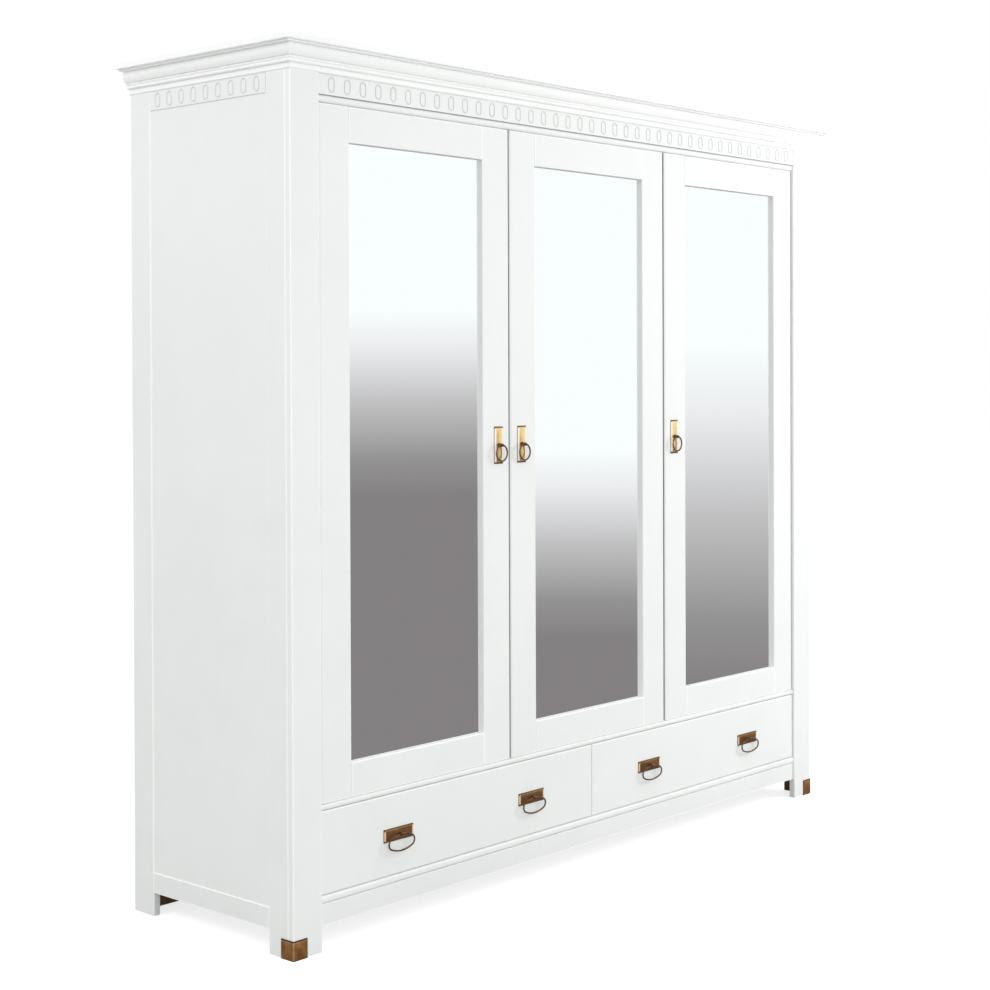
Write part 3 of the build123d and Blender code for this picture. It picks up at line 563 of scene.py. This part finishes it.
def between(tree, share, first, second):
    """A number between two others."""
    inputs = {"Factor": share, 2: first, 3: second}
    return add(tree, "Mix", inputs, data_type="FLOAT").outputs[0]


def ramp(tree, value, span, onto=(0.0, 1.0)):
    """Map a stretch of a value smoothly onto another."""
    inputs = {"Value": value, 1: span[0], 2: span[1], 3: onto[0], 4: onto[1]}
    return add(tree, "MapRange", inputs, interpolation_type="SMOOTHSTEP").outputs[0]


def along_axes(tree, vector):
    """x, y and z of a vector."""
    return add(tree, "SeparateXYZ", {0: vector}).outputs


def facing(tree):
    """x, y and z of the direction that the surface faces."""
    return along_axes(tree, add(tree, "TexCoord", {}).outputs["Normal"])


def noise(tree, place, scale, detail=3.0, roughness=0.5, stretch=(1, 1, 1)):
    """Noise in the object's own coordinates, drawn out where stretch is below 1."""
    turned = add(tree, "Mapping", {"Vector": place, "Scale": stretch}).outputs[0]
    inputs = {"Vector": turned, "Scale": scale, "Detail": detail, "Roughness": roughness}
    return add(tree, "TexNoise", inputs).outputs[0]


def relief(tree, height, depth, strength, under=None):
    inputs = {"Height": height, "Distance": depth, "Strength": strength}
    if under is not None:
        inputs["Normal"] = under
    return add(tree, "Bump", inputs).outputs[0]


def new_material(name):
    """A material's tree, its shader and the place on the piece."""
    material = bpy.data.materials.new(name)
    material.use_nodes = True
    tree = material.node_tree
    surface = tree.nodes["Principled BSDF"]
    place = add(tree, "TexCoord", {}).outputs["Object"]
    return material, tree, surface, place


def set_surface(tree, surface, **inputs):
    for name, value in inputs.items():
        feed(tree, surface.inputs[name.replace("_", " ")], value)


# ---- planes of the boards ----
def board_planes(*names):
    """Bounding planes of one or more boards of the model."""
    corners = [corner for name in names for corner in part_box(name)]
    return {key: sorted({getattr(corner, key) for corner in corners}) for key in "xyz"}


def rail_planes(door):
    """Outer and sight edges of a door's rails."""
    planes = board_planes(door + "rails")
    low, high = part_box(door + "mirror")
    planes["z"] += [low.z + MIRROR_LAP, high.z - MIRROR_LAP]
    return planes


def stile_planes(door):
    """Outer and sight edges of a door's stiles."""
    planes = board_planes(door + "stiles")
    planes["x"] += board_planes(door + "rails")["x"]
    return planes


def side_planes(own, other):
    """Edges of one set of the side frames' boards, the same on both sides."""
    planes = board_planes(own)
    planes["x"] = [max(planes["x"])]
    planes["y"] += board_planes(other)["y"]
    planes["mirrored"] = True
    return planes


def near_planes(tree, value, planes):
    """1 at any of a board's bounding planes along one axis, falling to 0 beside it."""
    near = 0.0
    for plane in planes:
        close = ramp(tree, distance(tree, value, plane), ARRIS, (1.0, 0.0))
        near = calc(tree, "MAXIMUM", near, close)
    return near


def arris(tree, place, planes):
    """1 on the arrises, where two of a board's bounding planes meet: where the arris highlight is
    painted.
    """
    x, y, z = along_axes(tree, place)
    if planes.get("mirrored"):
        x = calc(tree, "ABSOLUTE", x)
    x, y, z = [near_planes(tree, value, planes[key]) for key, value in (("x", x), ("y", y), ("z", z))]
    level = calc(tree, "MINIMUM", x, y)
    upright = calc(tree, "MINIMUM", calc(tree, "MAXIMUM", x, y), z)
    return calc(tree, "MAXIMUM", level, upright)


def narrow_faces(tree, place, axis, least, edges=None):
    """1 on the faces that look less than so much along an axis, near the x edges if they are given."""
    along = calc(tree, "ABSOLUTE", facing(tree)["xyz".index(axis)])
    narrow = ramp(tree, along, (least - FACING_FADE, least), (1.0, 0.0))
    if not edges:
        return narrow
    x = along_axes(tree, place)[0]
    nearest = calc(tree, "MINIMUM", *[distance(tree, x, edge) for edge in edges])
    return calc(tree, "MULTIPLY", narrow, calc(tree, "LESS_THAN", nearest, EDGE_REACH))


# ---- lacquer and wood ----
def lacquer_nodes(tree, place, axis, light, dark, planes=None):
    """Sprayed satin lacquer over faint grain, with a painted highlight on its arrises: colour, roughness
    and relief.
    """
    drift = noise(tree, place, scale=2.2, detail=2.0)
    cloud = noise(tree, place, scale=14.0, detail=4.0, roughness=0.6)
    fibres = noise(tree, place, scale=260.0, detail=4.0, roughness=0.6, stretch=GRAIN[axis])
    peel = noise(tree, place, scale=420.0, detail=1.0)
    share = ramp(tree, calc(tree, "MULTIPLY_ADD", cloud, 0.5, drift), (0.5, 1.0))
    colour = blend(tree, share, dark, light)
    mottle = calc(tree, "MULTIPLY_ADD", fibres, 0.3, cloud)
    gloss = ramp(tree, mottle, (0.45, 0.85), LACQUER_GLOSS)
    bump = relief(tree, fibres, depth=0.05 * MM, strength=0.35)
    bump = relief(tree, peel, depth=0.04 * MM, strength=0.3, under=bump)
    if planes:
        # painted highlight along the arrises
        colour = blend(tree, arris(tree, place, planes), colour, PAINTED_HIGHLIGHT_WHITE)
    return colour, gloss, bump


def lacquer(name, axis, light=WHITE, dark=WHITE_SHADE, planes=None, painted_shade=None):
    """Lacquer, and on a board's narrow faces painted shade: its colour, then what narrow_faces asks."""
    material, tree, surface, place = new_material(name)
    colour, gloss, bump = lacquer_nodes(tree, place, axis, light, dark, planes)
    if painted_shade:
        # painted shade on the narrow faces: its colour and where it goes
        tint, *where = painted_shade
        colour = blend(tree, narrow_faces(tree, place, *where), colour, tint)
    set_surface(tree, surface, Base_Color=colour, Roughness=gloss, Normal=bump, IOR=LACQUER_IOR)
    return material


def wood_nodes(tree, place, axis, light, dark):
    """Planed bare wood: growth bands, fibres and pores drawn out along the grain."""
    bands = noise(tree, place, scale=34.0, roughness=0.55, stretch=GRAIN[axis])
    fibres = noise(tree, place, scale=420.0, detail=5.0, roughness=0.65, stretch=GRAIN[axis])
    share = ramp(tree, between(tree, 0.3, bands, fibres), (0.36, 0.64))
    colour = blend(tree, share, dark, light)
    gloss = ramp(tree, fibres, (0.3, 0.7), WOOD_GLOSS)
    bump = relief(tree, fibres, depth=0.15 * MM, strength=0.6)
    return colour, gloss, bump


def bare_wood(name, axis, light, dark):
    material, tree, surface, place = new_material(name)
    colour, gloss, bump = wood_nodes(tree, place, axis, light, dark)
    set_surface(tree, surface, Base_Color=colour, Roughness=gloss, Normal=bump)
    return material


def leg_finish(name, inner_axis, planes):
    """Lacquer outside and bare wood on the hidden face of a leg's board, below the bottom board."""
    material, tree, surface, place = new_material(name)
    paint = lacquer_nodes(tree, place, "z", WHITE, WHITE_SHADE, planes)
    wood = wood_nodes(tree, place, "z", BROWN_WOOD, BROWN_WOOD_DARK)
    x, _, z = along_axes(tree, place)
    x_facing, y_facing, _ = facing(tree)
    if inner_axis == "x":
        outwards = calc(tree, "MULTIPLY", x_facing, calc(tree, "SIGN", x))
        hidden = calc(tree, "LESS_THAN", outwards, -HIDDEN_FACING)
    else:
        hidden = calc(tree, "GREATER_THAN", y_facing, HIDDEN_FACING)
    low = calc(tree, "LESS_THAN", z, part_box("bottom_board")[0].z)
    bare = calc(tree, "MULTIPLY", hidden, low)
    colour = blend(tree, bare, paint[0], wood[0])
    gloss = between(tree, bare, paint[1], wood[1])
    set_surface(tree, surface, Base_Color=colour, Roughness=gloss, Normal=paint[2])
    return material


def back_board(name):
    """Thin plywood, painted towards the inside and bare behind."""
    material, tree, surface, place = new_material(name)
    paint = lacquer_nodes(tree, place, "z", INSIDE_WHITE, INSIDE_SHADE)
    wood = wood_nodes(tree, place, "z", PALE_WOOD, PALE_WOOD_DARK)
    behind = calc(tree, "GREATER_THAN", facing(tree)[1], HIDDEN_FACING)
    colour = blend(tree, behind, paint[0], wood[0])
    gloss = between(tree, behind, paint[1], wood[1])
    set_surface(tree, surface, Base_Color=colour, Roughness=gloss, Normal=wood[2])
    return material


# ---- glass, metal and plastic ----
def mirror_glass():
    """Silvered glass with the faintest unevenness of a wiped pane."""
    material, tree, surface, place = new_material("mirror_glass")
    wipe = noise(tree, place, scale=3.0, detail=5.0, roughness=0.6, stretch=(1, 1, 0.35))
    tint = blend(tree, wipe, SILVER_DULL, SILVER)
    haze = ramp(tree, wipe, (0.35, 0.75), GLASS_HAZE)
    set_surface(tree, surface, Base_Color=tint, Roughness=haze, Metallic=1.0)
    return material


def brass_nodes(tree, place, axis, light, deep):
    """Drawn brass: streaks along an axis under clouds of tarnish."""
    streaks = noise(tree, place, scale=700.0, roughness=0.6, stretch=GRAIN[axis])
    cloud = noise(tree, place, scale=55.0, detail=5.0, roughness=0.6)
    share = ramp(tree, between(tree, 0.55, streaks, cloud), (0.36, 0.62))
    return blend(tree, share, deep, light), streaks, cloud


def brass_gloss(tree, cloud, gloss):
    return ramp(tree, cloud, (0.35, 0.7), gloss)


def plate_brass(name, size, axis, band, light, deep, bevel_highlight, patina_and_shade, gloss, metallic):
    """Brass of a handle plate: a painted highlight on the side bevels, painted shade on the upper and
    lower ones, and dark patina at the thin edges and corners.
    """
    material, tree, surface, place = new_material(name)
    colour, streaks, cloud = brass_nodes(tree, place, axis, light, deep)
    face = along_axes(tree, add(tree, "TexCoord", {}).outputs["UV"])
    reach = []
    for share, length in zip(face[:2], size):
        nearest = calc(tree, "MINIMUM", share, calc(tree, "SUBTRACT", 1.0, share))
        reach.append(calc(tree, "MULTIPLY", nearest, length))
    # painted highlight on the side bevels
    bevel = ramp(tree, reach[0], SIDE_BEVEL, (1.0, 0.0))
    colour = blend(tree, bevel, colour, bevel_highlight)

    side_reach, end_reach = [calc(tree, "MULTIPLY_ADD", cloud, PLATE_DARK_DRIFT, near) for near in reach]
    side = ramp(tree, side_reach, SIDE_PATINA, (0.9, 0.0))
    # painted shade on the upper and lower bevels
    ends = ramp(tree, end_reach, (band, band + END_SHADE_FADE), (0.9, 0.0))
    squares = [calc(tree, "MULTIPLY", near, near) for near in reach]
    corner = calc(tree, "SQRT", calc(tree, "ADD", *squares))
    spot = ramp(tree, corner, CORNER_PATINA, (1.0, 0.0))
    dark = calc(tree, "MAXIMUM", calc(tree, "MAXIMUM", side, ends), spot)
    colour = blend(tree, dark, colour, patina_and_shade)

    metal = calc(tree, "MULTIPLY_ADD", bevel, HIGHLIGHT_METALLIC, metallic)
    dull = calc(tree, "MAXIMUM", dark, bevel)
    rough = calc(tree, "MULTIPLY_ADD", dull, DULLED, brass_gloss(tree, cloud, gloss))
    bump = relief(tree, streaks, depth=0.03 * MM, strength=0.35)
    set_surface(tree, surface, Base_Color=colour, Roughness=rough, Metallic=metal, Normal=bump)
    return material


def brass(name, axis, light, deep, gloss):
    material, tree, surface, place = new_material(name)
    colour, streaks, cloud = brass_nodes(tree, place, axis, light, deep)
    rough = brass_gloss(tree, cloud, gloss)
    bump = relief(tree, streaks, depth=0.04 * MM, strength=0.4)
    set_surface(tree, surface, Base_Color=colour, Roughness=rough, Metallic=1.0, Normal=bump)
    return material


def cap_brass():
    """Brass of the foot caps: brown, paler along the fold, a painted highlight below a band of painted
    shade at the top, darker at the sheet's other edges.
    """
    material, tree, surface, place = new_material("foot_brass")
    colour, streaks, cloud = brass_nodes(tree, place, "z", CAP_BRASS, CAP_BRASS_DEEP)
    low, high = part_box("foot_caps")
    x, y, z = along_axes(tree, place)
    x_side = calc(tree, "SUBTRACT", high.x, calc(tree, "ABSOLUTE", x))
    y_side = calc(tree, "SUBTRACT", y, low.y)
    from_fold = calc(tree, "MAXIMUM", x_side, y_side)
    from_end = calc(tree, "SUBTRACT", high.y - low.y, from_fold)
    from_head = calc(tree, "SUBTRACT", high.z, z)
    uneven = calc(tree, "MULTIPLY", cloud, CAP_EDGE_DRIFT)
    head_reach = calc(tree, "ADD", from_head, uneven)
    rim_reach = calc(tree, "ADD", calc(tree, "MINIMUM", from_end, z), uneven)

    colour = blend(tree, ramp(tree, from_fold, CAP_FOLD, (0.75, 0.0)), colour, CAP_BRASS_PALE)
    # painted highlight: a pale line below the dark top band
    colour = blend(tree, ramp(tree, head_reach, CAP_LINE, (0.7, 0.0)), colour, CAP_BRASS_PALE)
    rim = ramp(tree, rim_reach, CAP_RIM, (0.8, 0.0))
    # painted shade: the dark band along the top edge
    head = ramp(tree, head_reach, CAP_HEAD, (0.95, 0.0))
    colour = blend(tree, calc(tree, "MAXIMUM", rim, head), colour, CAP_PATINA_AND_SHADE)
    rough = brass_gloss(tree, cloud, CAP_GLOSS)
    bump = relief(tree, streaks, depth=0.04 * MM, strength=0.4)
    set_surface(tree, surface, Base_Color=colour, Roughness=rough, Metallic=1.0, Normal=bump)
    return material


def steel():
    """Plated steel with fine drawing lines along the rail."""
    material, tree, surface, place = new_material("steel")
    lines = noise(tree, place, scale=900.0, roughness=0.6, stretch=GRAIN["x"])
    cloud = noise(tree, place, scale=30.0, detail=4.0)
    colour = blend(tree, cloud, STEEL_DARK, STEEL)
    rough = ramp(tree, lines, (0.3, 0.7), STEEL_GLOSS)
    bump = relief(tree, lines, depth=0.02 * MM, strength=0.3)
    set_surface(tree, surface, Base_Color=colour, Roughness=rough, Metallic=1.0, Normal=bump)
    return material


def catch_plastic():
    """White moulded plastic with a fine eroded texture."""
    material, tree, surface, place = new_material("catch_plastic")
    grain = noise(tree, place, scale=1500.0, detail=2.0)
    cloud = noise(tree, place, scale=60.0, detail=2.0)
    colour = blend(tree, cloud, PLASTIC_SHADE, PLASTIC)
    rough = ramp(tree, grain, (0.3, 0.7), PLASTIC_GLOSS)
    bump = relief(tree, grain, depth=0.05 * MM, strength=0.5)
    set_surface(tree, surface, Base_Color=colour, Roughness=rough, Normal=bump)
    return material


# ---- dressing the model ----
def carcass_finishes(paint, metal, pale):
    """Finishes of the legs, sides, back, cornice, inside boards and rail."""
    inside = {axis: lacquer("inside_" + axis, axis, INSIDE_WHITE, INSIDE_SHADE) for axis in "xyz"}
    # cornice and cap lacquer whitened as painted light
    moulding = lacquer("moulding_lit_lacquer", "x", PAINTED_HIGHLIGHT_WHITE, MOULDING_LIT_WHITE)
    return {
        "front_stile_left": leg_finish("front_leg_left", "y", board_planes("front_stile_left")),
        "front_stile_right": leg_finish("front_leg_right", "y", board_planes("front_stile_right")),
        "side_stiles": leg_finish("side_leg", "x", side_planes("side_stiles", "side_rails")),
        "side_panel_left": paint["z"], "side_panel_right": paint["z"],
        "side_rails": lacquer("side_rail", "y", planes=side_planes("side_rails", "side_rails")),
        # painted shade on the walls of the carved ovals
        "side_friezes": lacquer("side_carving", "y", painted_shade=(CARVING_SHADE, "x", CARVING_FACING)),
        "back_frame": bare_wood("brown_wood", "z", BROWN_WOOD, BROWN_WOOD_DARK),
        "back_panels": back_board("back_board"),
        "front_frieze": lacquer("front_carving", "x", painted_shade=(CARVING_SHADE, "y", CARVING_FACING)),
        "top_bar": paint["x"], "mid_rail": paint["x"], "bottom_bead": paint["x"],
        "front_apron": lacquer("apron", "x", planes=board_planes("front_apron")),
        "cornice_moulding": moulding, "cap_moulding": moulding,
        "roof_board": inside["x"], "wardrobe_floor": inside["x"], "bottom_board": inside["x"],
        "partition": inside["z"], "drawer_supports": pale, "hat_shelf": inside["x"],
        "side_shelves": inside["x"], "shelf_cleats": inside["y"],
        "hanging_rail": metal, "rail_fittings": metal,
        "pivot_bushes": brass("bush_brass", "z", BUSH_BRASS, BUSH_BRASS_DEEP, BUSH_GLOSS),
        "door_catches": catch_plastic(),
    }


def door_finishes(side, paint, metal, glass):
    door = f"door_{side}_"
    # painted shadow in the gaps along the door's edges
    painted_shade = (DOOR_GAP_SHADE, "y", EDGE_FACING[side], board_planes(door + "stiles")["x"])
    return {
        door + "stiles": lacquer(door + "stile", "z", planes=stile_planes(door), painted_shade=painted_shade),
        door + "rails": lacquer(door + "rail", "x", planes=rail_planes(door)),
        door + "mirror": glass,
        door + "backing": paint["z"],
        door + "pivots": metal,
    }


def dress_frame():
    """Give every node of the model its finish."""
    paint = {axis: lacquer("lacquer_" + axis, axis) for axis in "xyz"}
    pale = bare_wood("pale_wood", "y", PALE_WOOD, PALE_WOOD_DARK)
    metal = steel()
    glass = mirror_glass()
    finishes = carcass_finishes(paint, metal, pale)
    for side in ("left", "middle", "right"):
        finishes.update(door_finishes(side, paint, metal, glass))
    for side in ("left", "right"):
        front = f"drawer_{side}_front"
        finishes[front] = lacquer(front + "_paint", "x", planes=board_planes(front))
        finishes[f"drawer_{side}_box"] = pale
    for name, material in finishes.items():
        set_finish(nodes[name], material)


def dress_doors(dark):
    """Handle plates and hanging rings of the doors."""
    low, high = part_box("door_left_plate")
    gold = plate_brass("gold_plate", (high.x - low.x, high.z - low.z), **GOLD_PLATE)
    for side in ("left", "middle", "right"):
        door = "door_" + side
        low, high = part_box(door + "_plate")
        pin = wire_pin(door + "_ring")
        plate = handle(door + "_handle_plate", low, high, pin.y, door, (gold, dark))
        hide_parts(door + "_plate")
        hang(ring(door + "_hanging_ring", pin), door + "_ring", dark)


def dress_drawers(dark):
    """Two handle plates and bails on each drawer."""
    low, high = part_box("drawer_left_plates")
    width = 2 * (wire_pin("drawer_left_bail_outer").x - low.x)
    brown = plate_brass("brown_plate", (width, high.z - low.z), **BROWN_PLATE)
    half = Vector((width / 2, 0, 0))
    for side in ("left", "right"):
        drawer = "drawer_" + side
        low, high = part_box(drawer + "_plates")
        for place in ("outer", "inner"):
            node = f"{drawer}_bail_{place}"
            pin = wire_pin(node)
            start = Vector((pin.x, low.y, low.z)) - half
            end = Vector((pin.x, high.y, high.z)) + half
            name = f"{drawer}_plate_{place}"
            plate = handle(name, start, end, pin.y, drawer, (brown, dark))
            if place == "outer":
                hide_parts(drawer + "_plates")
            hang(bail(node + "_wire", pin), node, dark)


def dress_feet():
    material = cap_brass()
    left = foot_cap("foot_cap_left", -1, material)
    foot_cap("foot_cap_right", 1, material)
    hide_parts("foot_caps")


# ---- camera, light and floor ----
def aim_camera():
    yaw, dip, roll = radians(CAMERA_YAW), radians(CAMERA_DIP), radians(CAMERA_ROLL)
    forward = Vector((sin(yaw) * cos(dip), cos(yaw) * cos(dip), -sin(dip)))
    level = Vector((cos(yaw), -sin(yaw), 0))
    upward = level.cross(forward)
    right = cos(roll) * level - sin(roll) * upward
    up = cos(roll) * upward + sin(roll) * level
    data = bpy.data.cameras.new("camera")
    data.lens = CAMERA_LENS
    data.shift_y = CAMERA_SHIFT_Y
    camera = bpy.data.objects.new("camera", data)
    turn = Matrix((right, up, -forward)).transposed()
    camera.matrix_world = Matrix.Translation(CAMERA_PLACE) @ turn.to_4x4()
    bpy.context.scene.collection.objects.link(camera)
    bpy.context.scene.camera = camera


def softbox(name, place, target, size, power, reflected=True, lighting=True):
    """A lit panel, which may be left out of reflections or of the light on the surfaces."""
    data = bpy.data.lights.new(name, "AREA")
    data.shape = "RECTANGLE"
    data.size, data.size_y = size
    data.energy = power
    light = bpy.data.objects.new(name, data)
    light.location = place
    light.rotation_mode = "QUATERNION"
    light.rotation_quaternion = (Vector(target) - Vector(place)).to_track_quat("-Z", "Y")
    light.visible_glossy = reflected
    light.visible_diffuse = lighting
    light.visible_camera = False
    bpy.context.scene.collection.objects.link(light)
    return light


def soften_edges(light):
    """Let a softbox fade out from its middle to its edges, so that a mirror shows no hard outline."""
    light.data.use_nodes = True
    tree = light.data.node_tree
    across = along_axes(tree, add(tree, "NewGeometry", {}).outputs["Parametric"])
    glow = 1.0
    for share in across[:2]:
        for fade in PANEL_FADES:
            glow = calc(tree, "MULTIPLY", glow, ramp(tree, share, fade))
    feed(tree, tree.nodes["Emission"].inputs["Strength"], glow)


def studio_tones(tree, depth):
    """The studio's colours, from its white walls down to its grey floor."""
    tones = add(tree, "ValToRGB", {"Fac": depth})
    scale = tones.color_ramp.elements
    (first, first_tone), *middle, (last, last_tone) = STUDIO_TONES
    scale[0].position, scale[0].color = first, (*first_tone, 1)
    scale[1].position, scale[1].color = last, (*last_tone, 1)
    for position, tone in middle:
        scale.new(position).color = (*tone, 1)
    return tones.outputs[0]


def studio_world():
    """White studio whose floor fades to grey, as the mirrors show it; plain white behind the object."""
    world = bpy.data.worlds.new("studio")
    bpy.context.scene.world = world
    world.use_nodes = True
    tree = world.node_tree
    tree.nodes.clear()
    x, y, z = along_axes(tree, add(tree, "TexCoord", {}).outputs["Generated"])
    bearing = calc(tree, "DEGREES", calc(tree, "ARCTAN2", x, calc(tree, "MULTIPLY", y, -1.0)))
    height = calc(tree, "DEGREES", calc(tree, "ARCSINE", z))
    steps = [ramp(tree, bearing, step) for step in HORIZON_STEPS]
    edges = []
    for edge, *shifts in (BRIGHT_EDGE, DARK_EDGE):
        for step, shift in zip(steps, shifts):
            edge = calc(tree, "MULTIPLY_ADD", step, shift, edge)
        edges.append(edge)
    bright, dark = edges
    below = calc(tree, "SUBTRACT", bright, height)
    depth = calc(tree, "DIVIDE", below, calc(tree, "SUBTRACT", bright, dark))

    path = add(tree, "LightPath", {}).outputs
    reflected = {"Color": studio_tones(tree, depth), "Strength": 1.0}
    ambient = {"Color": AMBIENT_COLOUR, "Strength": AMBIENT}
    backdrop = {"Color": (1, 1, 1, 1), "Strength": 1.0}
    reflected, ambient, backdrop = [
        add(tree, "Background", inputs).outputs[0] for inputs in (reflected, ambient, backdrop)
    ]
    lit = add(tree, "MixShader", {0: path["Is Glossy Ray"], 1: ambient, 2: reflected}).outputs[0]
    seen = add(tree, "MixShader", {0: path["Is Camera Ray"], 1: lit, 2: backdrop}).outputs[0]
    add(tree, "OutputWorld", {"Surface": seen})


def studio_floor():
    """A plain pale floor that looks as white as the backdrop."""
    material, tree, surface, place = new_material("floor")
    colour = blend(tree, noise(tree, place, scale=0.6), FLOOR_SHADE, FLOOR)
    glow = calc(tree, "MULTIPLY", add(tree, "LightPath", {}).outputs["Is Camera Ray"], FLOOR_GLOW)
    set_surface(
        tree, surface, Base_Color=colour, Roughness=FLOOR_ROUGHNESS, Specular_IOR_Level=0.0,
        Emission_Color=(1, 1, 1, 1), Emission_Strength=glow,
    )
    bpy.ops.object.select_all(action="DESELECT")
    bpy.ops.mesh.primitive_plane_add(size=FLOOR_SIZE, location=(0, 0, 0))
    floor = bpy.context.object
    floor.name = "floor"
    floor.data.materials.append(material)
    floor.visible_glossy = False


def studio_lights():
    softbox(
        "key", place=(2.7, -2.5, 2.0), target=(0.8, -0.27, 1.2), size=(0.9, 1.6), power=46,
        reflected=False,
    )
    softbox("fill", place=(-3.4, -5.6, 2.4), target=(-0.6, -0.27, 1.3), size=(0.9, 0.9), power=46)
    softbox("side_fill", place=(-4.2, 0.3, 3.4), target=(-1.05, 0, 1.4), size=(1.8, 1.8), power=28)
    soften_edges(softbox(
        "front_panel", place=(0.1, -5.4, 0.9), target=(0.1, 0, 0.9), size=(1.2, 1.6), power=20,
        lighting=False,
    ))


aim_camera()
studio_world()
studio_floor()
studio_lights()
bpy.context.scene.view_settings.view_transform = "Standard"

dark_brass = brass("dark_brass", "x", DARK_BRASS, DARK_BRASS_DEEP, DARK_BRASS_GLOSS)
dress_frame()
dress_doors(dark_brass)
dress_drawers(dark_brass)
dress_feet()
